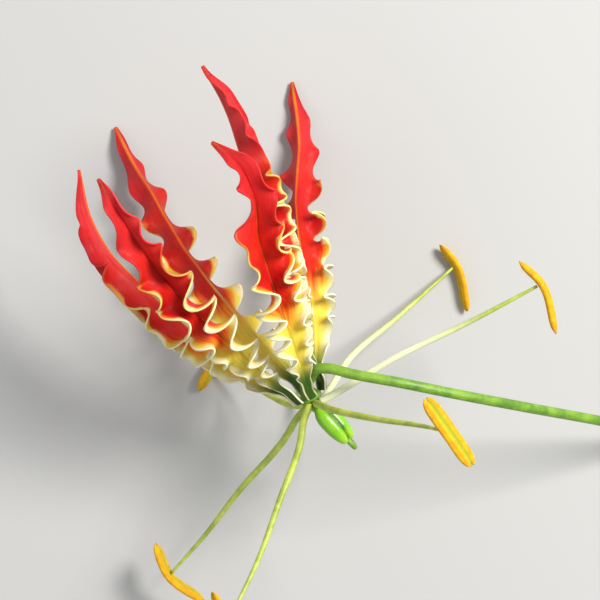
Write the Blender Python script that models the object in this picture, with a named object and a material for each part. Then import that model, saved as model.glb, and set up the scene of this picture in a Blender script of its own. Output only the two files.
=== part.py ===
"""A glory lily flower, picked with its stalk and laid on a surface.

Every form is worked out in the flower's own frame: the origin is the middle of the receptacle's top face,
X and Y lie in the surface's plane and Z points up. Lengths here are in millimetres; MM turns them into metres.
"""

import math

import bmesh
import bpy
import numpy as np

MM = 0.001

# Where the flower's own origin stands above the surface and beside the middle of the whole part's outline.
REST_HEIGHT = 32.76
CENTRE_SHIFT = (-16.44, -9.44)

# The flower's axis points from the stalk's end through the ovary. SIDE and RISE are square to it.
AXIS = np.array([0.468, -0.881, -0.072]) / np.linalg.norm([0.468, -0.881, -0.072])
SIDE = np.cross(np.array([0.0, 0.0, 1.0]), AXIS)
SIDE = SIDE / np.linalg.norm(SIDE)
RISE = np.cross(AXIS, SIDE)

CLEARANCE = 0.3

# The receptacle is the swollen end of the stalk.
RECEPTACLE_RADIUS = 2.35
RECEPTACLE_DEPTH = 1.5
STALK_RADIUS = 1.05
STALK_SIDES = 10
STALK_ROUTE = [
    (-0.2, 4.6, 3.0),
    (1.0, 6.3, 5.2),
    (3.0, 6.5, 6.4),
    (7.5, 5.5, 7.4),
    (17.3, 3.7, 7.8),
    (27.3, 1.6, 5.0),
    (44.0, -1.8, -4.5),
    (59.4, -4.9, -15.5),
    (79.0, -9.4, -31.7),
]

# Each tepal grows from the receptacle's side at its own angle round the axis and is bent back along its midrib route.
# A swell or a stir is a place where one half is wider or curls more: the half, the place, the size and the spread.
TEPAL_ROOT_RADIUS = 3.15
TEPAL_ROOT_DROP = 0.7
TEPAL_KNEE_RADIUS = 3.9
TEPAL_KNEE_DROP = 2.6
TEPAL_EDGE_THICKNESS = 0.6
TEPAL_RIB_THICKNESS = 1.0
TEPAL_STATIONS = 76
TEPAL_COLUMNS = (0.0, 0.5, 0.8, 1.0)
# Half the flat width along the tepal, as a share of its widest: a narrow claw, then a long lance.
TEPAL_WIDTHS = [(0.0, 0.17), (0.08, 0.2), (0.15, 0.5), (0.25, 0.86), (0.4, 1.0), (0.6, 0.94), (0.78, 0.68),
                (0.9, 0.4), (1.0, 0.045)]
# Each half of the blade leaves the midrib at the tepal's fold angle, here as a share of it from claw to tip.
TEPAL_FOLDS = [(0.0, 0.3), (0.15, 0.7), (0.3, 0.85), (0.5, 1.0), (0.93, 1.0), (1.0, 0.1)]
# By how much of the fold the rim is flatter than the blade beside the midrib.
FOLD_EASE = 0.35
# The rim curls to and fro in waves. This is how far it swings from claw to tip, in degrees.
RIM_SWINGS = [(0.0, 0), (0.08, 5), (0.15, 70), (0.25, 100), (0.45, 98), (0.58, 78), (0.7, 52), (0.85, 34), (1.0, 0)]
# The rim's lobes lean back along the tepal by a share of the wave's length, which makes the upper ones pointed.
RIM_CUSPS = [(0.0, 0.2), (0.3, 0.25), (0.5, 0.5), (1.0, 0.5)]
# A higher number keeps the swing or the lean nearer to the rim.
SWING_SPREAD = 1.5
CUSP_SPREAD = 1.6
LOBE_SHARE = 0.1
BEND_STEPS = 64
# How far apart the waves are from claw to tip, and how uneven they are.
WAVE_PITCH = [(0.0, 0.5), (0.25, 0.62), (0.36, 0.72), (0.47, 0.9), (0.62, 1.0), (1.0, 1.0)]
WAVE_WANDER = 0.1
WAVE_UNEVENNESS = 0.2
ROLL_PLACES = (0, 0.25, 0.6, 1)

TEPALS = {
    "tepal_1": {
        "angle": 198,
        "half_width": 6.3,
        "fold": 62,
        "roll": (0, 0, -2, -14),
        "waves": 8,
        "phase": (0.1, 0.6),
        "stir": [(1, 0.74, 1.2, 0.1)],
        "route": [(-10.0, 3.2, -1), (-15.0, 7.0, 0), (-26.3, 15.6, 2), (-33.7, 22.6, 4), (-40.4, 29.7, 5),
                  (-43.7, 35.8, 5.5), (-46.1, 45.7, 6)],
    },
    "tepal_2": {
        "angle": 138,
        "half_width": 6.0,
        "fold": 50,
        "roll": (0, 15, 32, 32),
        "waves": 10,
        "phase": (0.4, 0.9),
        "route": [(-8.7, 5.0, 5), (-15.2, 11.2, 9), (-21.9, 17.1, 13), (-28.5, 24.3, 17), (-33.1, 30.5, 21),
                  (-37.0, 36.7, 25), (-40.5, 42.8, 28)],
    },
    "tepal_3": {
        "angle": 258,
        "half_width": 6.0,
        "fold": 58,
        "roll": (0, 0, 0, 0),
        "waves": 10,
        "phase": (0.7, 0.2),
        "cusp": 0.35,
        "route": [(-4.6, 5.0, -7), (-8.1, 8.8, -9), (-17.8, 19.6, -14), (-27.3, 32.0, -19), (-33.8, 43.0, -23),
                  (-37.7, 49.0, -27.4), (-41.7, 56.7, -32.05)],
    },
    "tepal_4": {
        "angle": 6,
        "half_width": 6.9,
        "fold": 56,
        "roll": (0, 10, 24, -45),
        "waves": 12,
        "phase": (0.0, 0.5),
        "route": [(-1.0, 8.6, 1.2), (-4.0, 16.0, 2.6), (-7.4, 27.9, 4), (-10.7, 38.8, 4), (-13.9, 48.4, 4),
                  (-17.3, 58.3, 4), (-21.8, 66.4, 4)],
    },
    "tepal_5": {
        "angle": 84,
        "half_width": 6.0,
        "fold": 48,
        "roll": (0, 16, 8, 0),
        "waves": 11,
        "phase": (0.3, 0.8),
        "swell": [(0, 0.67, 2.8, 0.05)],
        "stir": [(0, 0.58, -0.95, 0.13)],
        "route": [(-2.2, 6.6, 8), (-5.3, 15.1, 13), (-8.2, 23.9, 18), (-10.6, 32.4, 24), (-11.1, 38.8, 29),
                  (-14.0, 45.2, 34), (-18.6, 49.0, 39)],
    },
    "tepal_6": {
        "angle": 318,
        "half_width": 6.2,
        "fold": 50,
        "roll": (0, 0, 12, 38),
        "waves": 11,
        "phase": (0.6, 0.1),
        "stir": [(0, 0.56, 0.7, 0.12)],
        "route": [(0.8, 6.8, -5), (0.4, 13.9, -8), (-1.2, 24.1, -12), (-2.6, 33.4, -17), (-3.2, 40.8, -21),
                  (-2.6, 53.7, -27.3), (-4.1, 66.3, -32.05)],
    },
}

# Each filament leaves the receptacle's top at its own angle and carries an anther across its end.
FILAMENT_ROOT_RADIUS = 1.95
FILAMENT_BASE_RADIUS = 0.75
FILAMENT_TIP_RADIUS = 0.3
FILAMENT_SIDES = 8
ANTHER_HALF_WIDTH = 1.62
ANTHER_HALF_DEPTH = 0.85
ANTHER_SIDES = 12
ANTHER_RINGS = 11
STAMENS = {
    "1": {"angle": -45, "route": [(7.9, 8.1, -14), (18.6, 16.8, -26), (30.0, 26.8, -30.8)],
          "anther": [(27.8, 31.1, -30.75), (33.0, 18.3, -31.35)]},
    "2": {"angle": 15, "route": [(17.3, 9.0, 5), (30.9, 15.7, 9), (43.9, 22.7, 12)],
          "anther": [(40.9, 27.0, 12), (47.4, 14.1, 12)]},
    "3": {"angle": 75, "route": [(3.5, -1.4, 10), (12.3, -2.8, 22), (21.0, -3.7, 31.5), (24.7, -4.3, 38.3)],
          "anther": [(21.1, 1.3, 39.3), (29.0, -10.0, 39.3)]},
    "4": {"angle": 195, "route": [(-5.4, -7.9, -4), (-14.7, -18.9, -11), (-22.1, -28.7, -17), (-29.1, -36.8, -21)],
          "anther": [(-32.3, -31.6, -22), (-23.1, -42.4, -22)]},
    "5": {"angle": 135, "route": [(-2.4, -8.7, 5), (-6.3, -19.2, 10), (-10.5, -30.4, 15), (-15.8, -41.1, 20)],
          "anther": [(-18.9, -36.7, 20.4), (-11.0, -47.2, 20.4)]},
    "6": {"angle": 255, "route": [(-4.0, -1.6, -12), (-11.0, 1.2, -24), (-20.0, 6.0, -30.8)],
          "anther": [(-16.0, 12.0, -31.45), (-23.5, 1.4, -31.45)]},
}

# Three joined carpels make the ovary, and the style turns away from its end at a right angle.
OVARY_TURN = (0.34, 0.0, 0.0)
OVARY_LENGTH = 10.4
# How far the ovary's foot stands off the receptacle.
OVARY_LIFT = 0.6
OVARY_RADIUS = 2.6
OVARY_SIDES = 24
STYLE_RADIUS = 0.55
STYLE_ROUTE = [(0.6, -0.5, -6.0), (-1.6, 1.4, -14.0), (-5.0, 4.0, -22.0), (-9.6, 7.4, -28.4)]
STIGMA_LENGTH = 4.2


def unit(v):
    """A vector of length one."""
    return np.asarray(v, float) / np.linalg.norm(v)


def smooth_route(points, count):
    """count points spaced evenly along one smooth curve through the given points."""
    p = np.asarray(points, float)
    p = np.vstack([2 * p[0] - p[1], p, 2 * p[-1] - p[-2]])
    spans = np.linalg.norm(np.diff(p, axis=0), axis=1)
    fine = []
    for k in range(1, len(p) - 2):
        before, here, after = spans[k - 1], spans[k], spans[k + 1]
        leave = here * ((p[k] - p[k - 1]) / before * here + (p[k + 1] - p[k]) / here * before) / (before + here)
        arrive = here * ((p[k + 1] - p[k]) / here * after + (p[k + 2] - p[k + 1]) / after * here) / (here + after)
        for t in np.linspace(0, 1, 24, endpoint=False):
            fine.append((2 * t**3 - 3 * t**2 + 1) * p[k] + (t**3 - 2 * t**2 + t) * leave
                        + (3 * t**2 - 2 * t**3) * p[k + 1] + (t**3 - t**2) * arrive)
    fine.append(p[-2])
    fine = np.array(fine)
    along = np.concatenate([[0], np.cumsum(np.linalg.norm(np.diff(fine, axis=0), axis=1))])
    even = np.linspace(0, along[-1], count)
    return np.column_stack([np.interp(even, along, fine[:, k]) for k in range(3)])


def softened(profile, s):
    """A profile given as (place, value) pairs, read at s with rounded corners."""
    places, values = zip(*profile)
    spread = np.linspace(-0.035, 0.035, 5)
    return sum(np.interp(s + d, places, values) for d in spread) / len(spread)


def tangents(points):
    """Unit directions along a run of points."""
    t = np.gradient(points, axis=0)
    return t / np.linalg.norm(t, axis=1)[:, None]


def finish(name, mesh_builder, material, smooth_angle=None):
    """Makes one named object from a bmesh in millimetres, and gives it its material."""
    bmesh.ops.recalc_face_normals(mesh_builder, faces=mesh_builder.faces)
    bmesh.ops.scale(mesh_builder, vec=(MM, MM, MM), verts=mesh_builder.verts)
    mesh = bpy.data.meshes.new(name)
    mesh_builder.to_mesh(mesh)
    mesh_builder.free()
    if smooth_angle:
        mesh.shade_smooth()
        mesh.set_sharp_from_angle(angle=math.radians(smooth_angle))
    piece = bpy.data.objects.new(name, mesh)
    bpy.context.scene.collection.objects.link(piece)
    piece.data.materials.append(material)
    return piece


def plain_material(name, colour, roughness):
    """A Principled BSDF with one colour and roughness."""
    made = bpy.data.materials.new(name)
    made.use_nodes = True
    shader = made.node_tree.nodes["Principled BSDF"]
    shader.inputs["Base Color"].default_value = (*colour, 1)
    shader.inputs["Roughness"].default_value = roughness
    shader.inputs["Metallic"].default_value = 0
    return made


def radial(angle):
    """The direction away from the flower's axis at an angle round it, in degrees."""
    turn = math.radians(angle)
    return math.cos(turn) * SIDE + math.sin(turn) * RISE


def wave_turns(shares):
    """The waves passed at each share of the tepal's length, as a share of them all."""
    even = np.linspace(0, 1, 400)
    turns = np.concatenate([[0], np.cumsum(1 / softened(WAVE_PITCH, even)[1:])])
    return np.interp(shares, even, turns / turns[-1])


def tepal_shares():
    """The tepal's stations, with as many on each wave."""
    even = np.linspace(0, 1, 400)
    return np.interp(np.linspace(0, 1, TEPAL_STATIONS), wave_turns(even), even)


def local(bumps, half, shares):
    """The sum of smooth bumps on one half of the tepal."""
    total = np.zeros(len(shares))
    for which, place, size, spread in bumps:
        if which == half:
            total += size * np.exp(-((shares - place) / spread) ** 2)
    return total


def summed(slopes):
    """The running sum of slopes across the blade, from 0 at the midrib."""
    sums = np.zeros_like(slopes)
    sums[:, 1:] = np.cumsum((slopes[:, 1:] + slopes[:, :-1]) / 2, axis=1) / BEND_STEPS
    return sums


def tepal_points(spec, shares, across):
    """The tepal's middle surface, one row for each share of its length and one column for each place across."""
    out = radial(spec["angle"])
    root = out * TEPAL_ROOT_RADIUS - AXIS * TEPAL_ROOT_DROP
    knee = out * TEPAL_KNEE_RADIUS - AXIS * TEPAL_KNEE_DROP
    rib = smooth_route([root, knee, *spec["route"]], 400)
    length = np.sum(np.linalg.norm(np.diff(rib, axis=0), axis=1))
    even = np.linspace(0, 1, len(rib))
    middle = np.column_stack([np.interp(shares, even, rib[:, k]) for k in range(3)])
    t = tangents(rib)
    t = np.column_stack([np.interp(shares, even, t[:, k]) for k in range(3)])
    away = middle - (middle @ AXIS)[:, None] * AXIS
    n = away - np.sum(away * t, axis=1)[:, None] * t
    n /= np.linalg.norm(n, axis=1)[:, None]
    b = np.cross(t, n)
    roll = np.radians(np.interp(shares, ROLL_PLACES, spec["roll"]))[:, None]
    n, b = np.cos(roll) * n + np.sin(roll) * b, np.cos(roll) * b - np.sin(roll) * n

    width = softened(TEPAL_WIDTHS, shares) * spec["half_width"]
    fold = np.radians(softened(TEPAL_FOLDS, shares) * spec["fold"])
    turns = wave_turns(shares) * spec["waves"]
    pitch = softened(WAVE_PITCH, shares) / np.mean(softened(WAVE_PITCH, even))
    wave_radius = length * pitch / spec["waves"] / (2 * math.pi)
    steps = np.linspace(0, 1, BEND_STEPS + 1)
    grid = np.zeros((len(shares), len(across), 3))
    for half, side in enumerate((-b, b)):
        start = spec["phase"][half]
        phase = 2 * math.pi * (turns + start + WAVE_WANDER * np.sin(2 * math.pi * (turns * 0.37 + start)))
        uneven = 1 + WAVE_UNEVENNESS * np.sin(2 * math.pi * (turns * 0.29 + 1.7 * start))
        swing = np.radians(softened(RIM_SWINGS, shares)) * (1 + local(spec.get("stir", ()), half, shares))
        reach = width * (1 - LOBE_SHARE * np.sin(phase)) + local(spec.get("swell", ()), half, shares)
        # the angle of the blade's cross-section, from the midrib to the rim
        lean = fold[:, None] * (1 - FOLD_EASE * steps)
        lean = lean + (swing * uneven * np.sin(phase))[:, None] * steps**SWING_SPREAD
        outward = summed(np.cos(lean)) * reach[:, None]
        raised = summed(np.sin(lean)) * reach[:, None]
        cusp = softened(RIM_CUSPS, shares) * spec.get("cusp", 1)
        back = cusp * wave_radius * np.minimum(1, swing) * np.cos(phase)
        for column, place in enumerate(across):
            if (place >= 0) != (half == 1):
                continue
            step = round(abs(place) * BEND_STEPS)
            grid[:, column] = (middle + side * outward[:, step, None] + n * raised[:, step, None]
                               - t * (back * abs(place) ** CUSP_SPREAD)[:, None])
    return grid


def tepal(name, spec, material):
    """A thin waved blade: its middle surface, thickened to both sides, with the same triangles on both faces."""
    shares = tepal_shares()
    across = [-c for c in TEPAL_COLUMNS[:0:-1]] + list(TEPAL_COLUMNS)
    grid = tepal_points(spec, shares, across)
    normal = np.cross(np.gradient(grid, axis=0), np.gradient(grid, axis=1))
    normal /= np.linalg.norm(normal, axis=2)[:, :, None]
    rib = (1 - np.abs(across)) ** 2 * (1 - 0.5 * shares[:, None])
    thickness = TEPAL_EDGE_THICKNESS + (TEPAL_RIB_THICKNESS - TEPAL_EDGE_THICKNESS) * rib
    shell = bmesh.new()
    faces = [[[shell.verts.new(p) for p in row] for row in grid + sign * normal * thickness[:, :, None] / 2]
             for sign in (1, -1)]
    last_row, last_column = grid.shape[0] - 1, grid.shape[1] - 1
    for skin in faces:
        for i in range(last_row):
            for j in range(last_column):
                a, b, c, d = skin[i][j], skin[i + 1][j], skin[i + 1][j + 1], skin[i][j + 1]
                for corners in ((a, b, c), (a, c, d)) if (i + j) % 2 else ((a, b, d), (b, c, d)):
                    shell.faces.new(corners)
    border = [(i, 0) for i in range(last_row)] + [(last_row, j) for j in range(last_column)]
    border += [(i, last_column) for i in range(last_row, 0, -1)] + [(0, j) for j in range(last_column, 0, -1)]
    for (i, j), (k, m) in zip(border, border[1:] + border[:1]):
        shell.faces.new((faces[0][i][j], faces[0][k][m], faces[1][k][m], faces[1][i][j]))
    return finish(name, shell, material)


def skin_rings(shell, rings):
    """Joins a run of closed rings of points into one capped skin."""
    loops = [[shell.verts.new(p) for p in ring] for ring in rings]
    for low, high in zip(loops, loops[1:]):
        for j in range(len(low)):
            k = (j + 1) % len(low)
            shell.faces.new((low[j], low[k], high[k], high[j]))
    shell.faces.new(loops[0][::-1])
    shell.faces.new(loops[-1])


def tube_rings(points, radii, sides):
    """Rings square to a run of points, turned as little as possible from one to the next."""
    along = tangents(points)
    across = unit(np.cross(along[0], (0.13, 0.31, 0.94)))
    rings = []
    for point, t, r in zip(points, along, radii):
        across = unit(across - (across @ t) * t)
        other = np.cross(t, across)
        angles = [2 * math.pi * k / sides for k in range(sides)]
        rings.append([point + r * (math.cos(a) * across + math.sin(a) * other) for a in angles])
    return rings


def stalk(material):
    """The flower's stalk, with the receptacle as its swollen end. It turns sharply out from between the tepals."""
    neck = [(0, 0, 0), -AXIS * RECEPTACLE_DEPTH, -AXIS * (RECEPTACLE_DEPTH + 1.2)]
    bend = smooth_route([neck[1], neck[2], *STALK_ROUTE], 40)
    points = np.vstack([neck[0], -AXIS * 0.8, bend])
    radii = np.full(len(points), STALK_RADIUS)
    radii[:2] = RECEPTACLE_RADIUS
    radii[2] = STALK_RADIUS * 1.7
    radii[3] = STALK_RADIUS * 1.15
    shell = bmesh.new()
    skin_rings(shell, tube_rings(points, radii, STALK_SIDES))
    return finish("stalk", shell, material, 50)


def filament_curve(spec):
    """The filament's middle line, from the receptacle's top to just short of its anther."""
    out = radial(spec["angle"])
    lift = AXIS * (FILAMENT_BASE_RADIUS + CLEARANCE)
    root = out * FILAMENT_ROOT_RADIUS + lift
    first = root + 1.8 * unit(0.5 * out + unit(np.array(spec["route"][0]) - root))
    return smooth_route([root, first, *spec["route"]], 15)


def filament(name, spec, material):
    """A tapering thread, thickest at the receptacle."""
    points = filament_curve(spec)
    share = np.linspace(0, 1, len(points))
    radii = FILAMENT_BASE_RADIUS + (FILAMENT_TIP_RADIUS - FILAMENT_BASE_RADIUS) * share**1.8
    shell = bmesh.new()
    skin_rings(shell, tube_rings(points, radii, FILAMENT_SIDES))
    return finish(name, shell, material, 50)


def anther(name, spec, material):
    """Two long pollen sacs side by side, bowed, held at the middle of the back by the filament's tip."""
    thread = filament_curve(spec)
    back = unit(thread[-2] - thread[-1])
    groove_depth = 0.55
    seat = thread[-1] - back * (ANTHER_HALF_DEPTH * groove_depth + CLEARANCE + 0.2)
    start, end = (np.array(p, float) for p in spec["anther"])
    bow = smooth_route([start, seat, end], ANTHER_RINGS)
    along = tangents(bow)
    rings = []
    for k, (point, t) in enumerate(zip(bow, along)):
        place = 2 * k / (ANTHER_RINGS - 1) - 1
        size = max(0.55, (1 - abs(place) ** 6) ** 0.5)
        toward = unit(back - (back @ t) * t)
        across = np.cross(t, toward)
        ring = []
        for m in range(ANTHER_SIDES):
            angle = 2 * math.pi * m / ANTHER_SIDES
            x, y = math.cos(angle), math.sin(angle)
            y *= 1 - (1 - groove_depth) * math.exp(-((x / 0.35) ** 2))
            notch = 0.55 * abs(x) * place**8 * math.copysign(1, place)
            ring.append(point + size * (x * ANTHER_HALF_WIDTH * across + y * ANTHER_HALF_DEPTH * toward) + notch * t)
        rings.append(ring)
    shell = bmesh.new()
    skin_rings(shell, rings)
    return finish(name, shell, material, 60)


def ovary_axis():
    """The direction from the ovary's foot to its end."""
    return unit(AXIS + np.array(OVARY_TURN))


def ovary(material):
    """Three carpels joined along deep grooves, rounded at the end."""
    along = ovary_axis()
    foot = AXIS * OVARY_LIFT
    shares = [0.0, 0.08, 0.17, 0.27, 0.4, 0.6, 0.75, 0.87, 0.95, 1.0]
    sizes = [0.4, 0.42, 0.56, 0.86, 1.0, 1.0, 0.93, 0.8, 0.62, 0.36]
    across = unit(np.cross((0, 0, 1), along))
    other = np.cross(along, across)
    rings = []
    for share, size in zip(shares, sizes):
        ring = []
        for m in range(OVARY_SIDES):
            angle = 2 * math.pi * m / OVARY_SIDES
            groove = 0.74 + 0.26 * abs(math.cos(1.5 * angle)) ** 0.7
            radius = OVARY_RADIUS * size * (groove if share > 0.1 else 0.85)
            ring.append(foot + along * OVARY_LENGTH * share
                        + radius * (math.cos(angle) * across + math.sin(angle) * other))
        rings.append(ring)
    shell = bmesh.new()
    skin_rings(shell, rings)
    return finish("ovary", shell, material, 50)


def style(material):
    """The style with its three-branched stigma, turned away from the ovary's end."""
    along = ovary_axis()
    start = AXIS * OVARY_LIFT + along * (OVARY_LENGTH + CLEARANCE + 0.3)
    elbow = start + along * 0.8 + np.array((0, 0, -0.75))
    line = smooth_route([start, elbow, *(start + np.array(p) for p in STYLE_ROUTE)], 22)
    shell = bmesh.new()
    skin_rings(shell, tube_rings(line, np.full(len(line), STYLE_RADIUS), 8))
    stem = finish("style", shell, material, 50)
    tip, ahead = line[-1], unit(line[-1] - line[-2])
    sideways = unit(np.cross(ahead, (0, 0, 1)))
    upward = np.cross(sideways, ahead)
    for k in range(3):
        turn = math.radians(90 + 120 * k)
        out = math.cos(turn) * sideways + math.sin(turn) * upward
        branch = smooth_route([tip - ahead * 1.0, tip + ahead * 0.6 + out * 0.4,
                               tip + ahead * STIGMA_LENGTH * 0.75 + out * STIGMA_LENGTH * 0.35], 5)
        arm = bmesh.new()
        skin_rings(arm, tube_rings(branch, np.linspace(0.42, 0.32, 5), 6))
        arm_piece = finish("arm", arm, material)
        join(stem, arm_piece)
    return stem


def join(body, piece):
    """Joins a piece into a body with one applied Boolean union, and removes the piece."""
    union = body.modifiers.new("union", "BOOLEAN")
    union.operation = "UNION"
    union.object = piece
    graph = bpy.context.evaluated_depsgraph_get()
    joined = bpy.data.meshes.new_from_object(body.evaluated_get(graph))
    body.modifiers.clear()
    body.data = joined
    bpy.data.objects.remove(piece)


def build():
    """Makes every piece and sets the flower down on the surface."""
    for old in list(bpy.data.objects):
        bpy.data.objects.remove(old)
    petal_red = plain_material("petal_red", (0.72, 0.06, 0.04), 0.45)
    stem_green = plain_material("stem_green", (0.22, 0.36, 0.05), 0.5)
    filament_green = plain_material("filament_green", (0.45, 0.55, 0.10), 0.45)
    pollen_yellow = plain_material("pollen_yellow", (0.85, 0.55, 0.03), 0.7)
    ovary_green = plain_material("ovary_green", (0.25, 0.55, 0.05), 0.4)

    pieces = [stalk(stem_green), ovary(ovary_green), style(filament_green)]
    for name, spec in TEPALS.items():
        pieces.append(tepal(name, spec, petal_red))
    for number, spec in STAMENS.items():
        pieces.append(filament("filament_" + number, spec, filament_green))
        pieces.append(anther("anther_" + number, spec, pollen_yellow))

    flower = bpy.data.objects.new("flower", None)
    bpy.context.scene.collection.objects.link(flower)
    flower.location = (CENTRE_SHIFT[0] * MM, CENTRE_SHIFT[1] * MM, REST_HEIGHT * MM)
    for piece in pieces:
        piece.parent = flower


build()
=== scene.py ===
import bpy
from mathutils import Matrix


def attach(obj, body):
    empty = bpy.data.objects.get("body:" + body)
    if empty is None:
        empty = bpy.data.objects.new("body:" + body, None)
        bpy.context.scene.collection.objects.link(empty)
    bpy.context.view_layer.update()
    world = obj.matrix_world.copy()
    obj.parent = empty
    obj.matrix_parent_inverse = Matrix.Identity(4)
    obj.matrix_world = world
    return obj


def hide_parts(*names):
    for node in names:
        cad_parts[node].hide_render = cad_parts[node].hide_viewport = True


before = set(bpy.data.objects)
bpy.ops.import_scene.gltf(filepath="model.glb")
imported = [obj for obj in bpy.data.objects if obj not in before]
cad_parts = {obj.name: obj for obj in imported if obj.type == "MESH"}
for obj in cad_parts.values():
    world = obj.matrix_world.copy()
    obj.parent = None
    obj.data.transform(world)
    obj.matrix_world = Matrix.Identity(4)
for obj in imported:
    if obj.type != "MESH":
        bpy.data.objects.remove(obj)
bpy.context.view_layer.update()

import math

import bpy
import numpy as np
from mathutils import Matrix

print("frame loaded:", len(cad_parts), "nodes")

# All forms are worked out in millimetres in the flower's own frame, whose origin is the middle of the
# receptacle's top. Angles are in degrees, and a share is a part of a piece's length, from its foot.
flower = {
    "shift": (-16.44, -9.44, 32.76),  # from the flower's own frame to the object's
    "axis": (0.468, -0.881, -0.072),  # the way that the flower faces
    "gap": 0.3,  # the clearance between two pieces
    "softening": 0.035,  # how far the corners of a profile are rounded, as a share
    "spanPoints": 24,  # points on each span of a smooth line
}
millimetre = 0.001


def unit(v):
    return np.asarray(v, float) / np.linalg.norm(v)


axis = unit(flower["axis"])
sideways = unit(np.cross((0.0, 0.0, 1.0), axis))
upward = np.cross(axis, sideways)
gap = flower["gap"]


def radial(angle):  # the direction out from the flower's axis, at an angle round it
    turn = math.radians(angle)
    return math.cos(turn) * sideways + math.sin(turn) * upward


def distances(points):  # how far along a line each of its points is
    return np.concatenate([[0], np.cumsum(np.linalg.norm(np.diff(points, axis=0), axis=1))])


def sampled(wanted, places, points):
    return np.column_stack([np.interp(wanted, places, points[:, k]) for k in range(3)])


def smoothRoute(points, count):  # a smooth line through the points, with evenly spaced stations
    p = np.asarray(points, float)
    p = np.vstack([2 * p[0] - p[1], p, 2 * p[-1] - p[-2]])
    spans = np.linalg.norm(np.diff(p, axis=0), axis=1)
    slopes = np.diff(p, axis=0) / spans[:, None]
    fine = []
    for k in range(1, len(p) - 2):
        before, here, after = spans[k - 1], spans[k], spans[k + 1]
        leave = here * (slopes[k - 1] * here + slopes[k] * before) / (before + here)
        arrive = here * (slopes[k] * after + slopes[k + 1] * here) / (here + after)
        for t in np.linspace(0, 1, flower["spanPoints"], endpoint=False):
            fine.append((2 * t**3 - 3 * t**2 + 1) * p[k] + (t**3 - 2 * t**2 + t) * leave
                        + (3 * t**2 - 2 * t**3) * p[k + 1] + (t**3 - t**2) * arrive)
    fine.append(p[-2])
    fine = np.array(fine)
    reach = distances(fine)
    return sampled(np.linspace(0, reach[-1], count), reach, fine)


def softened(profile, shares):  # a profile of shares and values, read with its corners rounded
    places, values = zip(*profile)
    offsets = np.linspace(-flower["softening"], flower["softening"], 5)
    return sum(np.interp(shares + offset, places, values) for offset in offsets) / len(offsets)


def directions(points):
    t = np.gradient(points, axis=0)
    return t / np.linalg.norm(t, axis=1)[:, None]


def calmNoise(count, step, seed):  # a smooth random run of numbers between -1 and 1
    rng = np.random.default_rng(seed)
    knots = rng.uniform(-1, 1, max(4, int(count / step) + 3))
    x = np.linspace(0, len(knots) - 1.001, count)
    k = x.astype(int)
    f = x - k
    f = f * f * (3 - 2 * f)
    return knots[k] * (1 - f) + knots[k + 1] * f


# Shader maths. A Wire is one socket, and expressions on wires add their own nodes.
class Wire:
    def __init__(self, tree, socket):
        self.tree = tree
        self.socket = socket

    def maths(self, kind, first, second):
        made = self.tree.nodes.new("ShaderNodeMath")
        made.operation = kind
        for place, value in enumerate((first, second)):
            if isinstance(value, Wire):
                self.tree.links.new(value.socket, made.inputs[place])
            else:
                made.inputs[place].default_value = value
        return Wire(self.tree, made.outputs[0])

    def __add__(self, other):
        return self.maths("ADD", self, other)

    def __radd__(self, other):
        return self.maths("ADD", other, self)

    def __sub__(self, other):
        return self.maths("SUBTRACT", self, other)

    def __rsub__(self, other):
        return self.maths("SUBTRACT", other, self)

    def __mul__(self, other):
        return self.maths("MULTIPLY", self, other)

    def __rmul__(self, other):
        return self.maths("MULTIPLY", other, self)

    def __pow__(self, other):
        return self.maths("POWER", self, other)

    def __rpow__(self, other):
        return self.maths("POWER", other, self)


class Finish:  # a material being made
    def __init__(self, name, plain):
        self.material = bpy.data.materials.new(name)
        self.material.use_nodes = True
        self.tree = self.material.node_tree
        self.shader = self.tree.nodes["Principled BSDF"]
        for key, value in plain.items():
            self.shader.inputs[key].default_value = value

    def feed(self, socket, value):
        if isinstance(value, Wire):
            self.tree.links.new(value.socket, socket)
        else:
            socket.default_value = value

    def node(self, kind, settings=None, sockets=None, out=0):
        made = self.tree.nodes.new(kind)
        for key, value in (settings or {}).items():
            setattr(made, key, value)
        for key, value in (sockets or {}).items():
            self.feed(made.inputs[key], value)
        return Wire(self.tree, made.outputs[out])

    def drawn(self, name):  # a number that the mesh carries at each of its points
        settings = {"attribute_name": name, "attribute_type": "GEOMETRY"}
        return self.node("ShaderNodeAttribute", settings, {}, "Fac")

    def place(self):
        return self.node("ShaderNodeTexCoord", {}, {}, "Object")

    def spots(self, size, detail=3.0, rough=0.55, where=None):  # size in mm, or in the units of where
        scale = 1000.0 / size if where is None else 1.0 / size
        return self.node("ShaderNodeTexNoise", {}, {"Vector": where or self.place(), "Scale": scale,
                                                    "Detail": detail, "Roughness": rough}, "Fac")

    def paced(self, across, along, pace):  # a place on the skin, stretched by a pace each way
        return self.node("ShaderNodeCombineXYZ", {}, {"X": across * pace[0], "Y": along * pace[1]})

    def step(self, value, low, high):  # 0 below low, 1 above high, and smooth between them
        return self.node("ShaderNodeMapRange", {"interpolation_type": "SMOOTHSTEP"},
                         {"Value": value, "From Min": low, "From Max": high, "To Min": 0.0, "To Max": 1.0})

    def blend(self, share, first, second, how="MIX"):
        first = first if isinstance(first, Wire) else (*first, 1)
        second = second if isinstance(second, Wire) else (*second, 1)
        return self.node("ShaderNodeMix", {"data_type": "RGBA", "blend_type": how},
                         {0: share, 6: first, 7: second}, 2)

    def relief(self, height, depth, before=None):
        sockets = {"Height": height, "Distance": depth * millimetre, "Strength": 1.0}
        if before is not None:
            sockets["Normal"] = before
        return self.node("ShaderNodeBump", {}, sockets)

    def done(self, colour, rough, normal=None):
        self.feed(self.shader.inputs["Base Color"], colour)
        self.feed(self.shader.inputs["Roughness"], rough)
        if normal is not None:
            self.feed(self.shader.inputs["Normal"], normal)
        return self.material


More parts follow.
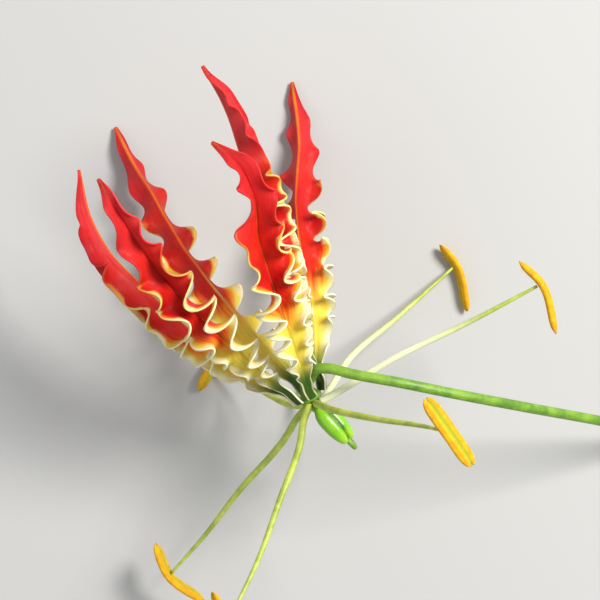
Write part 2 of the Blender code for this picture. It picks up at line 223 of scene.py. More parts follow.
petalLook = {
    "deepRed": (0.58, 0.006, 0.005),
    "red": (0.84, 0.026, 0.004),
    # the rose colour is a painted sheen over the red
    "roseSheen": (0.82, 0.032, 0.045),
    "orange": (0.96, 0.24, 0.012),
    "yellow": (0.92, 0.66, 0.03),
    "lemon": (0.86, 0.80, 0.16),
    "cream": (0.98, 0.91, 0.58),
    "clawGreen": (0.05, 0.15, 0.012),
    "redThread": (0.72, 0.35, 0.4),
    "yellowThread": (0.93, 0.78, 0.45),
    # the shares between which a colour comes or goes
    "redStart": (0.3, 0.38),
    "warmStart": (0.23, 0.33),
    # where the painted rose sheen comes in along the blade
    "roseSheenStart": (0.55, 0.95),
    "clawEnd": (0.07, 0.15),
    "greenEnd": (0.07, 0.17),
    "edgeEnd": (0.56, 0.72),
    # how much later the warm colours start at the rim, and how fast that fades inwards
    "redClimb": 0.24,
    "warmClimb": 0.26,
    "climbFade": -0.62,
    "streakWander": 0.16,
    "cloudWander": 0.1,
    # the millimetres from the midrib and from the rim that their lines take up
    "ribWidth": (0.08, 0.36),
    "edgeWidth": 2.1,
    "edgeNarrowing": 0.7,
    # how often streaks, threads and veins change across and along the blade, and the size of the spots
    "streakPace": (9.0, 5.0),
    "threadPace": (26.0, 5.0),
    "veinPace": (2.4, 0.8),
    "cloudSize": 9.0,
    "grainSize": 0.8,
    "threadRelief": 0.09,
    "veinRelief": 0.05,
    "grainRelief": 0.03,
    "rough": 0.38,
    "streakRough": 0.16,
}


def petalFinish():
    c = petalLook
    look = Finish("petal skin", {"Subsurface Weight": 0.22, "Subsurface Radius": (1.0, 0.35, 0.12),
                                 "Subsurface Scale": 0.001, "Specular IOR Level": 0.26,
                                 "Coat Weight": 0.05, "Coat Roughness": 0.3})
    along, across = look.drawn("along"), look.drawn("across")
    rim, rib, turned = look.drawn("rim"), look.drawn("rib"), look.drawn("turned")
    streaks = look.spots(1.0, 4.0, 0.6, look.paced(across, along, c["streakPace"]))
    clouds = look.spots(c["cloudSize"])
    # the red comes down the middle, and the yellow climbs the margins
    shore = along + (streaks - 0.5) * c["streakWander"] + (clouds - 0.5) * c["cloudWander"]
    nearRim = 2.718 ** (rim * c["climbFade"]) * look.drawn("climb")
    redness = look.step(shore - nearRim * c["redClimb"], *c["redStart"])
    warm = look.step(shore - nearRim * c["warmClimb"], *c["warmStart"])
    reds = look.blend(look.step(clouds, 0.35, 0.7), c["deepRed"], c["red"])
    # towards the tip the red turns rose, which is a painted sheen
    reds = look.blend(look.step(along, *c["roseSheenStart"]) * 0.75, reds, c["roseSheen"])
    reds = look.blend(look.step(streaks, 0.45, 0.75) * 0.35, reds, c["red"])
    yellows = look.blend(look.step(streaks, 0.3, 0.7), c["yellow"], c["lemon"])
    colour = look.blend(warm, yellows, c["orange"])
    colour = look.blend(redness, colour, reds)
    # the midrib is a fine line, lemon low down and orange towards the tip
    line = (1 - look.step(rib, *c["ribWidth"])) * (0.45 + look.step(clouds, 0.35, 0.6) * 0.45)
    lineColour = look.blend(look.step(along, 0.3, 0.6), c["lemon"], c["orange"])
    colour = look.blend(line, colour, lineColour)
    # a pale edge, widest low down and gone near the tip, and higher up broad only where the rim curls over
    claw = 1 - look.step(along, *c["clawEnd"])
    flat = 1 - look.step(turned * turned, 0.05, 0.6)
    wide = c["edgeWidth"] - look.step(along, 0.3, 0.6) * c["edgeNarrowing"]
    wide = wide * (1 - look.step(along, 0.28, 0.42) * flat * 0.8)
    edge = (1 - look.step(rim * (1 + claw * 3.5), 0.3 * wide, wide)) * (1 - look.step(along, *c["edgeEnd"]))
    edgeColour = look.blend(look.step(along, 0.3, 0.75), c["cream"], c["yellow"])
    colour = look.blend(edge, colour, edgeColour)
    # fine threads run along the blade, darker than the skin between them
    threads = look.spots(1.0, 5.0, 0.65, look.paced(across, along, c["threadPace"]))
    shade = look.blend(redness, c["yellowThread"], c["redThread"])
    colour = look.blend(look.step(threads, 0.42, 0.66) * (1 - edge) * 0.5, colour, shade, "MULTIPLY")
    # the claw is green inside its pale edge
    green = (1 - look.step(along + (streaks - 0.5) * 0.06, *c["greenEnd"])) * look.step(rim, 0.12, 0.3)
    greenColour = look.blend(look.step(streaks, 0.5, 0.8) * 0.25, c["clawGreen"], c["lemon"])
    colour = look.blend(green, colour, greenColour)
    veins = look.node("ShaderNodeTexWave", {"wave_type": "BANDS", "bands_direction": "X"},
                      {"Vector": look.paced(across, along, c["veinPace"]), "Scale": 3.2,
                       "Distortion": 1.6, "Detail": 2.0, "Detail Scale": 2.0}, "Fac")
    normal = look.relief(threads, c["threadRelief"], look.relief(veins, c["veinRelief"]))
    normal = look.relief(look.spots(c["grainSize"], 4.0), c["grainRelief"], normal)
    return look.done(colour, look.step(streaks, 0.2, 0.8) * c["streakRough"] + c["rough"], normal)


def stemFinish(name, c):
    look = Finish(name, {"Subsurface Weight": 0.12, "Subsurface Radius": (0.5, 1.0, 0.2),
                         "Subsurface Scale": 0.001, "Specular IOR Level": 0.45})
    along, around = look.drawn("along"), look.drawn("around")
    clouds = look.spots(3.0)
    colour = look.blend(look.step(clouds, 0.3, 0.7), c["dark"], c["light"])
    threads = look.spots(1.0, 3.0, 0.6, look.paced(around, along, c["threadPace"]))
    colour = look.blend(look.step(threads, 0.55, 0.75) * 0.35, colour, c["speckle"])
    dots = look.spots(0.35, 2.0)
    colour = look.blend(look.step(dots, 0.6, 0.7) * 0.4, colour, c["speckle"])
    # some threads are paler towards the foot, which is a painted highlight
    if "pale" in c:
        colour = look.blend(look.drawn("pale"), colour, c["pale"])
    normal = look.relief(threads, 0.05)
    normal = look.relief(dots, 0.02, normal)
    return look.done(colour, look.step(clouds, 0.2, 0.8) * 0.12 + c["rough"], normal)


def meshPiece(name, points, faces, finish, drawn=None):
    mesh = bpy.data.meshes.new(name)
    mesh.from_pydata((np.asarray(points) * millimetre).tolist(), [], faces)
    for key, values in (drawn or {}).items():
        layer = mesh.attributes.new(key, "FLOAT", "POINT")
        layer.data.foreach_set("value", np.asarray(values, np.float32))
    mesh.update()
    mesh.shade_smooth()
    piece = bpy.data.objects.new(name, mesh)
    bpy.context.scene.collection.objects.link(piece)
    mesh.materials.append(finish)
    return piece


def settle(piece, node):  # puts a finished piece in its CAD node's place
    piece.data.transform(Matrix.Translation([v * millimetre for v in flower["shift"]]))
    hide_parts(node)
    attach(piece, "root")


tepalMaker = {
    "rootRadius": 3.15,
    "rootDrop": 0.7,
    "kneeRadius": 3.9,
    "kneeDrop": 2.6,
    "edgeThickness": 0.34,
    "ribThickness": 0.9,
    "ribThinning": 0.5,  # how much of it is gone at the tip
    "ribStations": 400,
    "stations": 420,
    "columns": 18,
    "columnSpread": 0.8,  # below 1 the columns crowd towards the rims
    "bendSteps": 64,
    # profiles along the blade, as shares and values
    "widths": [(0.0, 0.17), (0.08, 0.2), (0.15, 0.5), (0.25, 0.86), (0.4, 1.0), (0.6, 0.94), (0.78, 0.68),
               (0.9, 0.4), (1.0, 0.02)],
    "folds": [(0.0, 0.3), (0.15, 0.7), (0.3, 0.85), (0.5, 1.0), (0.93, 1.0), (1.0, 0.1)],
    "foldEasing": 0.35,  # how much of the fold is gone at the rim
    "swings": [(0.0, 0), (0.08, 5), (0.15, 70), (0.25, 100), (0.45, 98), (0.58, 78), (0.7, 52), (0.85, 34),
               (1.0, 0)],
    "swingSpread": 1.5,
    "lobeShare": 0.1,
    "cusps": [(0.0, 0.3), (0.3, 0.4), (0.5, 0.75), (1.0, 0.75)],
    "cuspSpread": 1.6,
    "wavePitch": [(0.0, 0.5), (0.25, 0.62), (0.36, 0.72), (0.47, 0.9), (0.62, 1.0), (1.0, 1.0)],
    "rollPlaces": (0, 0.25, 0.6, 1),
    # waves come a little early or late, and some are deeper: each has its amount, its turns for each wave,
    # and how far the phase shifts it
    "drift": (0.1, 0.37, 1.0),
    "uneven": (0.2, 0.29, 1.7),
}
# The fold lifts a blade's two halves, and the roll turns the whole blade. A bump in swell widens the blade,
# and one in stir changes the depth of its waves: each has its half, its share, its size and its spread.
tepals = {
    "tepal_1": {
        "angle": 198, "halfWidth": 6.3, "fold": 62, "roll": (0, 0, -2, -14), "waves": 8, "phase": (0.1, 0.6),
        "stir": ((1, 0.74, 1.2, 0.1),), "climb": 1.2,
        "route": [(-10.0, 3.2, -1), (-15.0, 7.0, 0), (-26.3, 15.6, 2), (-33.7, 22.6, 4), (-40.4, 29.7, 5),
                  (-43.7, 35.8, 5.5), (-46.1, 45.7, 6)]},
    "tepal_2": {
        "angle": 138, "halfWidth": 6.0, "fold": 50, "roll": (0, 15, 32, 32), "waves": 10, "phase": (0.4, 0.9),
        "route": [(-8.7, 5.0, 5), (-15.2, 11.2, 9), (-21.9, 17.1, 13), (-28.5, 24.3, 17), (-33.1, 30.5, 21),
                  (-37.0, 36.7, 25), (-40.5, 42.8, 28)]},
    "tepal_3": {
        "angle": 258, "halfWidth": 6.0, "fold": 58, "roll": (0, 0, 0, 0), "waves": 10, "phase": (0.7, 0.2),
        "cusp": 0.35, "climb": 1.6,
        "route": [(-4.6, 5.0, -7), (-8.1, 8.8, -9), (-17.8, 19.6, -14), (-27.3, 32.0, -19),
                  (-33.8, 43.0, -23), (-37.7, 49.0, -27.4), (-41.7, 56.7, -32.05)]},
    "tepal_4": {
        "angle": 6, "halfWidth": 6.9, "fold": 56, "roll": (0, 10, 24, -45), "waves": 12, "phase": (0.0, 0.5),
        "route": [(-1.0, 8.6, 1.2), (-4.0, 16.0, 2.6), (-7.4, 27.9, 4), (-10.7, 38.8, 4), (-13.9, 48.4, 4),
                  (-17.3, 58.3, 4), (-21.8, 66.4, 4)]},
    "tepal_5": {
        "angle": 84, "halfWidth": 6.0, "fold": 48, "roll": (0, 16, 8, 0), "waves": 11, "phase": (0.3, 0.8),
        "swell": ((0, 0.67, 2.8, 0.05),), "stir": ((0, 0.58, -0.95, 0.13),),
        "route": [(-2.2, 6.6, 8), (-5.3, 15.1, 13), (-8.2, 23.9, 18), (-10.6, 32.4, 24), (-11.1, 38.8, 29),
                  (-14.0, 45.2, 34), (-18.6, 49.0, 39)]},
    "tepal_6": {
        "angle": 318, "halfWidth": 6.2, "fold": 50, "roll": (0, 0, 12, 38), "waves": 11, "phase": (0.6, 0.1),
        "stir": ((0, 0.56, 0.7, 0.12),),
        "route": [(0.8, 6.8, -5), (0.4, 13.9, -8), (-1.2, 24.1, -12), (-2.6, 33.4, -17), (-3.2, 40.8, -21),
                  (-2.6, 53.7, -27.3), (-4.1, 66.3, -32.05)]},
}


def bumpsAlong(bumps, half, shares):
    return sum((size * np.exp(-((shares - place) / spread) ** 2)
                for which, place, size, spread in bumps if which == half), np.zeros(len(shares)))


def wander(turns, start, size, pace, shift):
    return size * np.sin(2 * math.pi * (turns * pace + shift * start))


def summedUp(slopes):  # the height reached at each step across the blade, for slopes over a width of 1
    heights = np.zeros_like(slopes)
    heights[:, 1:] = np.cumsum((slopes[:, 1:] + slopes[:, :-1]) / 2, axis=1) / (slopes.shape[1] - 1)
    return heights


def between(table, share):  # the value at a share of the way across each row
    last = table.shape[1] - 1
    k = min(int(share * last), last - 1)
    part = share * last - k
    return table[:, k] * (1 - part) + table[:, k + 1] * part


def tepalSheet(spec, shares, across):
    maker = tepalMaker
    out = radial(spec["angle"])
    root = out * maker["rootRadius"] - axis * maker["rootDrop"]
    knee = out * maker["kneeRadius"] - axis * maker["kneeDrop"]
    rib = smoothRoute([root, knee, *spec["route"]], maker["ribStations"])
    ribShares = np.linspace(0, 1, len(rib))
    middle = sampled(shares, ribShares, rib)
    ahead = sampled(shares, ribShares, directions(rib))
    width = softened(maker["widths"], shares) * spec["halfWidth"]
    fold = np.radians(softened(maker["folds"], shares) * spec["fold"])
    swing = np.radians(softened(maker["swings"], shares))
    # the waves are shorter towards the foot
    pitch = softened(maker["wavePitch"], ribShares)
    turns = np.concatenate([[0], np.cumsum(1 / pitch[1:])])
    turns = np.interp(shares, ribShares, turns / turns[-1]) * spec["waves"]
    wavelength = distances(rib)[-1] * softened(maker["wavePitch"], shares) / np.mean(pitch) / spec["waves"]
    stride = wavelength / (2 * math.pi)
    away = middle - (middle @ axis)[:, None] * axis
    lift = away - np.sum(away * ahead, axis=1)[:, None] * ahead
    lift /= np.linalg.norm(lift, axis=1)[:, None]
    beside = np.cross(ahead, lift)
    roll = np.radians(np.interp(shares, maker["rollPlaces"], spec["roll"]))[:, None]
    lift, beside = np.cos(roll) * lift + np.sin(roll) * beside, np.cos(roll) * beside - np.sin(roll) * lift
    steps = np.linspace(0, 1, maker["bendSteps"] + 1)
    sheet = np.zeros((len(shares), len(across), 3))
    turned = np.zeros((len(shares), len(across)))
    for half, side in enumerate((-beside, beside)):
        start = spec["phase"][half]
        phase = 2 * math.pi * (turns + start + wander(turns, start, *maker["drift"]))
        uneven = 1 + wander(turns, start, *maker["uneven"])
        swings = swing * (1 + bumpsAlong(spec.get("stir", ()), half, shares))
        swell = bumpsAlong(spec.get("swell", ()), half, shares)
        reach = width * (1 - maker["lobeShare"] * np.sin(phase)) + swell
        # the blade bends more and more towards its rim, and the bend swings from side to side
        lean = (fold[:, None] * (1 - maker["foldEasing"] * steps)
                + (swings * uneven * np.sin(phase))[:, None] * steps ** maker["swingSpread"])
        outward = summedUp(np.cos(lean))
        raised = summedUp(np.sin(lean))
        cusp = softened(maker["cusps"], shares) * spec.get("cusp", 1)
        back = cusp * stride * np.minimum(1, swings) * np.cos(phase)
        for j, place in enumerate(across):
            if (place >= 0) != (half == 1):
                continue
            v = abs(place)
            sheet[:, j] = (middle + side * (between(outward, v) * reach)[:, None]
                           + lift * (between(raised, v) * reach)[:, None]
                           - ahead * (back * v ** maker["cuspSpread"])[:, None])
            turned[:, j] = -np.sin(phase) * np.minimum(1, swings)
    return sheet, width, turned


def shellFaces(rows, columns):  # a skin, a second one behind it, and the strip that joins their borders
    faces = []
    skin = rows * columns
    for i in range(rows - 1):
        for j in range(columns - 1):
            a = i * columns + j
            faces.append((a, a + 1, a + columns + 1, a + columns))
            faces.append((skin + a, skin + a + columns, skin + a + columns + 1, skin + a + 1))
    border = [(i, 0) for i in range(rows - 1)]
    border += [(rows - 1, j) for j in range(columns - 1)]
    border += [(i, columns - 1) for i in range(rows - 1, 0, -1)]
    border += [(0, j) for j in range(columns - 1, 0, -1)]
    border = [i * columns + j for i, j in border]
    for a, b in zip(border, border[1:] + border[:1]):
        faces.append((a, b, skin + b, skin + a))
    return faces


def makeTepal(name, spec, finish):
    maker = tepalMaker
    shares = np.linspace(0, 1, maker["stations"])
    half = np.linspace(0, 1, maker["columns"]) ** maker["columnSpread"]
    across = np.concatenate([-half[:0:-1], half])
    sheet, width, turned = tepalSheet(spec, shares, across)
    normal = np.cross(np.gradient(sheet, axis=0), np.gradient(sheet, axis=1))
    normal /= np.linalg.norm(normal, axis=2)[:, :, None]
    rib = (1 - np.abs(across)) ** 2 * (1 - maker["ribThinning"] * shares[:, None])
    thickness = maker["edgeThickness"] + (maker["ribThickness"] - maker["edgeThickness"]) * rib
    rows, columns = sheet.shape[:2]
    skins = [sheet + sign * normal * thickness[:, :, None] / 2 for sign in (1, -1)]
    points = np.concatenate([skin.reshape(-1, 3) for skin in skins])
    fromRib = np.abs(across)[None, :]
    drawn = {"along": np.repeat(shares, columns), "across": np.tile(across, rows),
             "rim": ((1 - fromRib) * width[:, None]).ravel(), "rib": (fromRib * width[:, None]).ravel(),
             "turned": turned.ravel(), "climb": np.full(rows * columns, spec.get("climb", 1.0))}
    drawn = {key: np.concatenate([values, values]) for key, values in drawn.items()}
    return meshPiece(name, points, shellFaces(rows, columns), finish, drawn)


def ringFaces(rings, sides):  # a tube's faces and its two ends
    faces = []
    for k in range(rings - 1):
        for j in range(sides):
            n = (j + 1) % sides
            faces.append((k * sides + j, k * sides + n, (k + 1) * sides + n, (k + 1) * sides + j))
    faces.append(tuple(range(sides))[::-1])
    faces.append(tuple(range((rings - 1) * sides, rings * sides)))
    return faces


def tube(line, radii, sides, ribs=0, ribDepth=0.0):
    slant = (0.13, 0.31, 0.94)  # no tube starts out this way
    ways = directions(line)
    across = unit(np.cross(ways[0], slant))
    points, shares, around = [], [], []
    for k, (middle, ahead, radius) in enumerate(zip(line, ways, radii)):
        across = unit(across - (across @ ahead) * ahead)
        other = np.cross(ahead, across)
        for j in range(sides):
            angle = 2 * math.pi * j / sides
            grown = radius * (1 + ribDepth * math.cos(ribs * angle))
            points.append(middle + grown * (math.cos(angle) * across + math.sin(angle) * other))
            shares.append(k / (len(line) - 1))
            around.append(abs(j / sides - 0.5) * 2)
    return np.array(points), ringFaces(len(line), sides), {"along": shares, "around": around}


stalkLook = {
    "dark": (0.10, 0.24, 0.02), "light": (0.22, 0.40, 0.03), "speckle": (0.45, 0.58, 0.12),
    "threadPace": (14.0, 60.0), "rough": 0.38,
}
stalkMaker = {
    "sides": 40, "stations": 260, "ribs": 6, "ribDepth": 0.012,
    "unevenness": 0.02, "unevenStep": 30, "seed": 5,
    "headDepth": 1.5, "headRings": 12, "neckLength": 1.2,
    # the receptacle's radius against the distance from its top, down to that of the stalk
    "radii": [(0, 2.0), (0.12, 2.25), (0.4, 2.35), (0.9, 2.35), (1.5, 1.8), (2.4, 1.25), (3.4, 1.05)],
    "route": [(-0.2, 4.6, 3.0), (1.0, 6.3, 5.2), (3.0, 6.5, 6.4), (7.5, 5.5, 7.4), (17.3, 3.7, 7.8),
              (27.3, 1.6, 5.0), (44.0, -1.8, -4.5), (59.4, -4.9, -15.5), (79.0, -9.4, -31.7)],
}


def makeStalk(finish):
    maker = stalkMaker
    depth = maker["headDepth"]
    head = [-axis * d for d in np.linspace(0, depth, maker["headRings"], endpoint=False)]
    neck = [-axis * depth, -axis * (depth + maker["neckLength"])]
    line = np.vstack([head, smoothRoute([*neck, *maker["route"]], maker["stations"])])
    radii = np.interp(distances(line), *zip(*maker["radii"]))
    radii = radii * (1 + maker["unevenness"] * calmNoise(len(line), maker["unevenStep"], maker["seed"]))
    points, faces, drawn = tube(line, radii, maker["sides"], maker["ribs"], maker["ribDepth"])
    return meshPiece("stalkSkin", points, faces, finish, drawn)


threadLook = {
    "dark": (0.30, 0.40, 0.045), "light": (0.55, 0.62, 0.10), "speckle": (0.75, 0.80, 0.28),
    # pale is the colour of the painted highlight on some threads
    "pale": (0.93, 0.92, 0.70), "threadPace": (14.0, 20.0), "rough": 0.36,
}
stamenMaker = {
    "rootRadius": 1.95, "baseRadius": 0.75, "tipRadius": 0.3, "taper": 1.8, "sides": 24, "stations": 90,
    "ribs": 3, "ribDepth": 0.03, "firstStep": 1.8, "outwardLean": 0.5, "footDrop": 0.1,
    "seatStations": 15,  # few, so that the last two give the thread's way into the anther
    "antherHalfWidth": 1.62, "antherHalfDepth": 0.85, "antherSides": 72, "antherRings": 90, "antherRoom": 0.2,
    "endPower": 9, "endSize": 0.2, "notch": 0.8, "notchPower": 8, "grain": 0.012,
    # the groove and the two seams along an anther, placed across its half width
    "grooveDepth": 0.55, "grooveWidth": 0.3, "seamPlace": 0.66, "seamWidth": 0.1, "seamDepth": 0.12,
    # how the painted highlight fades along a thread, from its foot
    "paleFade": [(0, 0.9), (0.45, 0.8), (0.8, 0)],
    "pollen": (0.95, 0.58, 0.012), "pollenDark": (0.80, 0.36, 0.01), "grooveGreen": (0.42, 0.50, 0.03),
    "seed": 11,
}
stamens = {
    # pale is how strong the painted highlight is on a thread, and only the first two threads have it
    "1": {"angle": -45, "pale": 0.7, "route": [(7.9, 8.1, -14), (18.6, 16.8, -26), (30.0, 26.8, -30.8)],
          "anther": [(27.8, 31.1, -30.75), (33.0, 18.3, -31.35)]},
    "2": {"angle": 15, "pale": 1.0, "route": [(17.3, 9.0, 5), (30.9, 15.7, 9), (43.9, 22.7, 12)],
          "anther": [(40.9, 27.0, 12), (47.4, 14.1, 12)]},
    "3": {"angle": 75, "route": [(3.5, -1.4, 10), (12.3, -2.8, 22), (21.0, -3.7, 31.5), (24.7, -4.3, 38.3)],
          "anther": [(21.1, 1.3, 39.3), (29.0, -10.0, 39.3)]},
    "4": {"angle": 195, "route": [(-5.4, -7.9, -4), (-14.7, -18.9, -11), (-22.1, -28.7, -17),
                                  (-29.1, -36.8, -21)],
          "anther": [(-32.3, -31.6, -22), (-23.1, -42.4, -22)]},
    "5": {"angle": 135, "route": [(-2.4, -8.7, 5), (-6.3, -19.2, 10), (-10.5, -30.4, 15), (-15.8, -41.1, 20)],
          "anther": [(-18.9, -36.7, 20.4), (-11.0, -47.2, 20.4)]},
    "6": {"angle": 255, "route": [(-4.0, -1.6, -12), (-11.0, 1.2, -24), (-20.0, 6.0, -30.8)],
          "anther": [(-16.0, 12.0, -31.45), (-23.5, 1.4, -31.45)]},
}


def threadCurve(spec, count):
    maker = stamenMaker
    out = radial(spec["angle"])
    root = out * maker["rootRadius"] + axis * (maker["baseRadius"] + gap)
    toward = unit(np.array(spec["route"][0]) - root)
    first = root + maker["firstStep"] * unit(maker["outwardLean"] * out + toward)
    return smoothRoute([root, first, *spec["route"]], count)


def makeThread(name, spec, finish):
    maker = stamenMaker
    line = threadCurve(spec, maker["stations"])
    shares = np.linspace(0, 1, len(line))
    radii = maker["baseRadius"] + (maker["tipRadius"] - maker["baseRadius"]) * shares ** maker["taper"]
    foot = line[0] - axis * (gap + maker["footDrop"])
    line = np.vstack([foot - (line[1] - line[0]), line])
    radii = np.concatenate([[radii[0]], radii])
    points, faces, drawn = tube(line, radii, maker["sides"], maker["ribs"], maker["ribDepth"])
    # the painted highlight, strongest at the thread's foot
    drawn["pale"] = spec.get("pale", 0) * np.interp(drawn["along"], *zip(*maker["paleFade"]))
    return meshPiece(name, points, faces, finish, drawn)


def makeAnther(name, spec, finish, seed):
    maker = stamenMaker
    thread = threadCurve(spec, maker["seatStations"])
    back = unit(thread[-2] - thread[-1])
    seat = thread[-1] - back * (maker["antherHalfDepth"] * maker["grooveDepth"] + gap + maker["antherRoom"])
    start, end = (np.array(p, float) for p in spec["anther"])
    count, sides = maker["antherRings"], maker["antherSides"]
    bow = smoothRoute([start, seat, end], count)
    rng = np.random.default_rng(seed)
    points, fromGroove = [], []
    for k, (middle, ahead) in enumerate(zip(bow, directions(bow))):
        place = 2 * k / (count - 1) - 1
        size = max(maker["endSize"], (1 - abs(place) ** maker["endPower"]) ** 0.5)
        toward = unit(back - (back @ ahead) * ahead)
        across = np.cross(ahead, toward)
        for j in range(sides):
            angle = 2 * math.pi * j / sides
            x, y = math.cos(angle), math.sin(angle)
            groove = (1 - maker["grooveDepth"]) * math.exp(-((x / maker["grooveWidth"]) ** 2))
            seam = maker["seamDepth"] * math.exp(-(((abs(x) - maker["seamPlace"]) / maker["seamWidth"]) ** 2))
            y *= 1 - groove - seam
            notch = maker["notch"] * abs(x) * place ** maker["notchPower"] * math.copysign(1, place)
            grain = 1 + maker["grain"] * rng.uniform(-1, 1)
            offset = x * maker["antherHalfWidth"] * across + y * maker["antherHalfDepth"] * toward
            points.append(middle + size * grain * offset + notch * ahead)
            fromGroove.append(abs(x))
    return meshPiece(name, points, ringFaces(count, sides), finish, {"groove": fromGroove})


def antherFinish():
    c = stamenMaker
    look = Finish("pollen coat", {"Subsurface Weight": 0.15, "Subsurface Radius": (1.0, 0.5, 0.1),
                                  "Subsurface Scale": 0.0006, "Specular IOR Level": 0.25})
    fromGroove = look.drawn("groove")
    grains = look.node("ShaderNodeTexVoronoi", {"feature": "F1"}, {"Vector": look.place(), "Scale": 9000.0},
                       "Distance")
    clouds = look.spots(1.6)
    colour = look.blend(look.step(clouds, 0.3, 0.7), c["pollenDark"], c["pollen"])
    colour = look.blend(look.step(grains, 0.2, 0.6) * 0.3, colour, c["pollenDark"])
    colour = look.blend((1 - look.step(fromGroove, 0.12, 0.36)) * 0.9, colour, c["grooveGreen"])
    fromSeam = look.node("ShaderNodeMath", {"operation": "ABSOLUTE"}, {0: fromGroove - c["seamPlace"]})
    colour = look.blend((1 - look.step(fromSeam, 0.02, 0.09)) * 0.5, colour, c["pollenDark"])
    normal = look.relief(grains, 0.09)
    normal = look.relief(look.spots(0.3, 3.0), 0.05, normal)
    return look.done(colour, look.step(clouds, 0.2, 0.8) * 0.1 + 0.7, normal)


ovaryMaker = {
    "turn": (0.34, 0.0, 0.0), "length": 10.4, "lift": 0.6, "radius": 2.6, "sides": 96, "rings": 90,
    "endRoom": 0.5, "footShare": 0.14, "footRoundness": 0.85,
    "radii": [(0.0, 0.4), (0.08, 0.42), (0.17, 0.56), (0.27, 0.86), (0.4, 1.0), (0.6, 1.0), (0.75, 0.97),
              (0.87, 0.88), (0.95, 0.74), (1.0, 0.5)],
    "endRadii": (0.58, 0.48, 0.3),
    # three lobes with grooves between them, which part towards the end
    "lobes": 3, "ridgePower": 0.7, "grooveDepth": 0.3,
    "partingStart": 0.72, "partingDepth": 0.3, "tipLength": 1.2, "tipMiddle": 0.45, "tipPower": 1.5,
    "dark": (0.03, 0.13, 0.005), "light": (0.20, 0.50, 0.01), "pale": (0.42, 0.66, 0.03),
}


def ovaryWay():
    return unit(axis + np.array(ovaryMaker["turn"]))


def makeOvary(finish):
    maker = ovaryMaker
    along = ovaryWay()
    foot = axis * maker["lift"]
    across = unit(np.cross((0, 0, 1), along))
    other = np.cross(along, across)
    shares = np.linspace(0, 1, maker["rings"])
    sizes = softened(maker["radii"], shares)
    sizes[-3:] = maker["endRadii"]
    roundness = maker["footRoundness"]
    points, ridges = [], []
    for share, size in zip(shares, sizes):
        parting = max(0, share - maker["partingStart"]) / (1 - maker["partingStart"])
        depth = maker["grooveDepth"] + maker["partingDepth"] * parting
        for j in range(maker["sides"]):
            angle = 2 * math.pi * j / maker["sides"]
            ridge = abs(math.cos(maker["lobes"] / 2 * angle)) ** maker["ridgePower"]
            # the foot is nearly round
            lobed = 1 - depth * (1 - ridge) - roundness
            radius = maker["radius"] * size * (roundness + lobed * min(1, share / maker["footShare"]))
            tip = maker["tipLength"] * (ridge - maker["tipMiddle"]) * parting ** maker["tipPower"]
            reach = (maker["length"] - maker["endRoom"]) * share + tip
            out = math.cos(angle) * across + math.sin(angle) * other
            points.append(foot + along * reach + radius * out)
            ridges.append(ridge)
    drawn = {"along": np.repeat(shares, maker["sides"]), "ridge": ridges}
    return meshPiece("ovarySkin", points, ringFaces(maker["rings"], maker["sides"]), finish, drawn)


def ovaryFinish():
    c = ovaryMaker
    look = Finish("ovary skin", {"Subsurface Weight": 0.3, "Subsurface Radius": (0.4, 1.0, 0.15),
                                 "Subsurface Scale": 0.0015, "Specular IOR Level": 0.5,
                                 "Coat Weight": 0.15, "Coat Roughness": 0.25})
    clouds = look.spots(2.2)
    # the grooves between the lobes are darker than the ridges, which is painted shade
    colour = look.blend(look.step(look.drawn("ridge"), 0.15, 0.75), c["dark"], c["light"])
    colour = look.blend(look.step(look.drawn("along"), 0.7, 1.0) * 0.5, colour, c["pale"])
    colour = look.blend(look.step(clouds, 0.4, 0.8) * 0.35, colour, c["pale"])
    normal = look.relief(look.spots(0.5, 3.0), 0.04)
    return look.done(colour, look.step(clouds, 0.2, 0.8) * 0.1 + 0.28, normal)


styleMaker = {
    "radius": 0.55, "sides": 20, "stations": 120, "room": 0.3, "footReach": 0.9,
    "elbowOut": 0.8, "elbowDrop": 0.75,
    "route": [(0.6, -0.5, -6.0), (-1.6, 1.4, -14.0), (-5.0, 4.0, -22.0), (-9.6, 7.4, -28.4)],
    "branches": 3, "branchLength": 4.2, "branchRadii": (0.42, 0.3), "branchSides": 16, "branchStations": 30,
    # how far ahead and out each branch goes: where it bends, in millimetres, and at its end, as shares
    "branchBend": (0.6, 0.4), "branchEnd": (0.75, 0.35),
}


def makeBranch(tip, ahead, out, finish):  # one arm of the stigma
    maker = styleMaker
    bendAhead, bendOut = maker["branchBend"]
    endAhead, endOut = maker["branchEnd"]
    length, stations = maker["branchLength"], maker["branchStations"]
    end = tip + ahead * length * endAhead + out * length * endOut
    line = smoothRoute([tip - ahead, tip + ahead * bendAhead + out * bendOut, end], stations)
    points, faces, drawn = tube(line, np.linspace(*maker["branchRadii"], stations), maker["branchSides"])
    return meshPiece("arm", points, faces, finish, drawn)


def makeStyle(finish):
    maker = styleMaker
    along = ovaryWay()
    start = axis * ovaryMaker["lift"] + along * (ovaryMaker["length"] + gap + maker["room"])
    elbow = start + along * maker["elbowOut"] - np.array((0, 0, maker["elbowDrop"]))
    route = [start + np.array(p) for p in maker["route"]]
    line = smoothRoute([start - along * maker["footReach"], start, elbow, *route], maker["stations"])
    points, faces, drawn = tube(line, np.full(len(line), maker["radius"]), maker["sides"])
    stem = meshPiece("styleSkin", points, faces, finish, drawn)
    tip, ahead = line[-1], unit(line[-1] - line[-2])
    beside = unit(np.cross(ahead, (0, 0, 1)))
    above = np.cross(beside, ahead)
    arms = []
    for k in range(maker["branches"]):
        turn = math.radians(90 + 360 / maker["branches"] * k)
        out = math.cos(turn) * beside + math.sin(turn) * above
        arms.append(makeBranch(tip, ahead, out, finish))
    bpy.ops.object.select_all(action="DESELECT")
    for piece in (stem, *arms):
        piece.select_set(True)
    bpy.context.view_layer.objects.active = stem
    bpy.ops.object.join()
    return stem


petalSkin = petalFinish()
for name, spec in tepals.items():
    settle(makeTepal(name + "Blade", spec, petalSkin), name)
print("tepals made:", len(tepals))

stalkSkin = stemFinish("stalk skin", stalkLook)
settle(makeStalk(stalkSkin), "stalk")
print("stalk made")

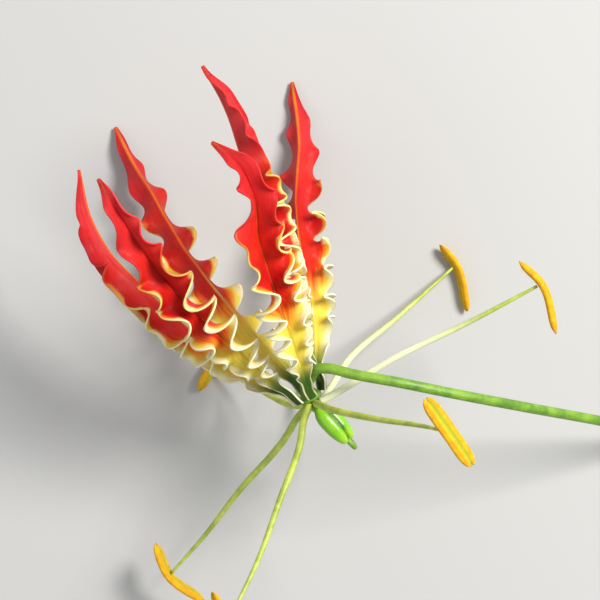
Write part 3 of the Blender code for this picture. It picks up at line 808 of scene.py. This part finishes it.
threadSkin = stemFinish("thread skin", threadLook)
pollenCoat = antherFinish()
for k, (number, spec) in enumerate(stamens.items()):
    settle(makeThread("thread" + number, spec, threadSkin), "filament_" + number)
    pollenSacs = makeAnther("pollenSacs" + number, spec, pollenCoat, stamenMaker["seed"] + k)
    settle(pollenSacs, "anther_" + number)
print("stamens made:", len(stamens))

settle(makeOvary(ovaryFinish()), "ovary")
settle(makeStyle(stalkSkin), "style")
print("ovary and style made")

# The studio: a pale floor in millimetres, a soft sky, and two broad lights placed in metres.
studio = {
    "floorColour": (0.52, 0.515, 0.505),
    "floorShade": 0.96,
    "floorSpots": 60.0,
    "floorSize": 1600.0,
    "sky": (0.9, 0.95, 1.0),
    "skyStrength": 0.4,
    "keyPlace": (0.42, 0.30, 0.62),
    "keySize": 0.30,
    "keyPower": 9.0,
    "keyColour": (1.0, 0.98, 0.94),
    "fillPlace": (-0.5, -0.3, 0.5),
    "fillSize": 0.7,
    "fillPower": 1.2,
    "fillColour": (0.95, 0.97, 1.0),
}


def makeFloor():
    look = Finish("floor paper", {"Specular IOR Level": 0.2})
    shaded = [v * studio["floorShade"] for v in studio["floorColour"]]
    colour = look.blend(look.spots(studio["floorSpots"]) * 0.25, studio["floorColour"], shaded)
    half = studio["floorSize"] / 2
    corners = [(-half, -half, 0), (half, -half, 0), (half, half, 0), (-half, half, 0)]
    meshPiece("floor", corners, [(0, 1, 2, 3)], look.done(colour, 0.8))


def makeLamp(name):
    lamp = bpy.data.lights.new(name, "AREA")
    lamp.shape = "DISK"
    lamp.size = studio[name + "Size"]
    lamp.energy = studio[name + "Power"]
    lamp.color = studio[name + "Colour"]
    holder = bpy.data.objects.new(name, lamp)
    bpy.context.scene.collection.objects.link(holder)
    holder.location = studio[name + "Place"]
    toward = -holder.location
    holder.rotation_euler = toward.to_track_quat("-Z", "Y").to_euler()


makeFloor()
makeLamp("key")
makeLamp("fill")
world = bpy.data.worlds.new("studio")
world.use_nodes = True
background = world.node_tree.nodes["Background"]
background.inputs["Color"].default_value = (*studio["sky"], 1)
background.inputs["Strength"].default_value = studio["skyStrength"]
bpy.context.scene.world = world
bpy.context.scene.view_settings.view_transform = "Standard"

# The camera looks straight down. Its place is in the flower's own frame.
view = {"place": (-2.4, 20.0, 500.0), "lens": 150.0}
camera = bpy.data.cameras.new("camera")
camera.lens = view["lens"]
holder = bpy.data.objects.new("camera", camera)
bpy.context.scene.collection.objects.link(holder)
holder.location = [(a + b) * millimetre for a, b in zip(view["place"], flower["shift"])]
bpy.context.scene.camera = holder
print("studio and camera ready")
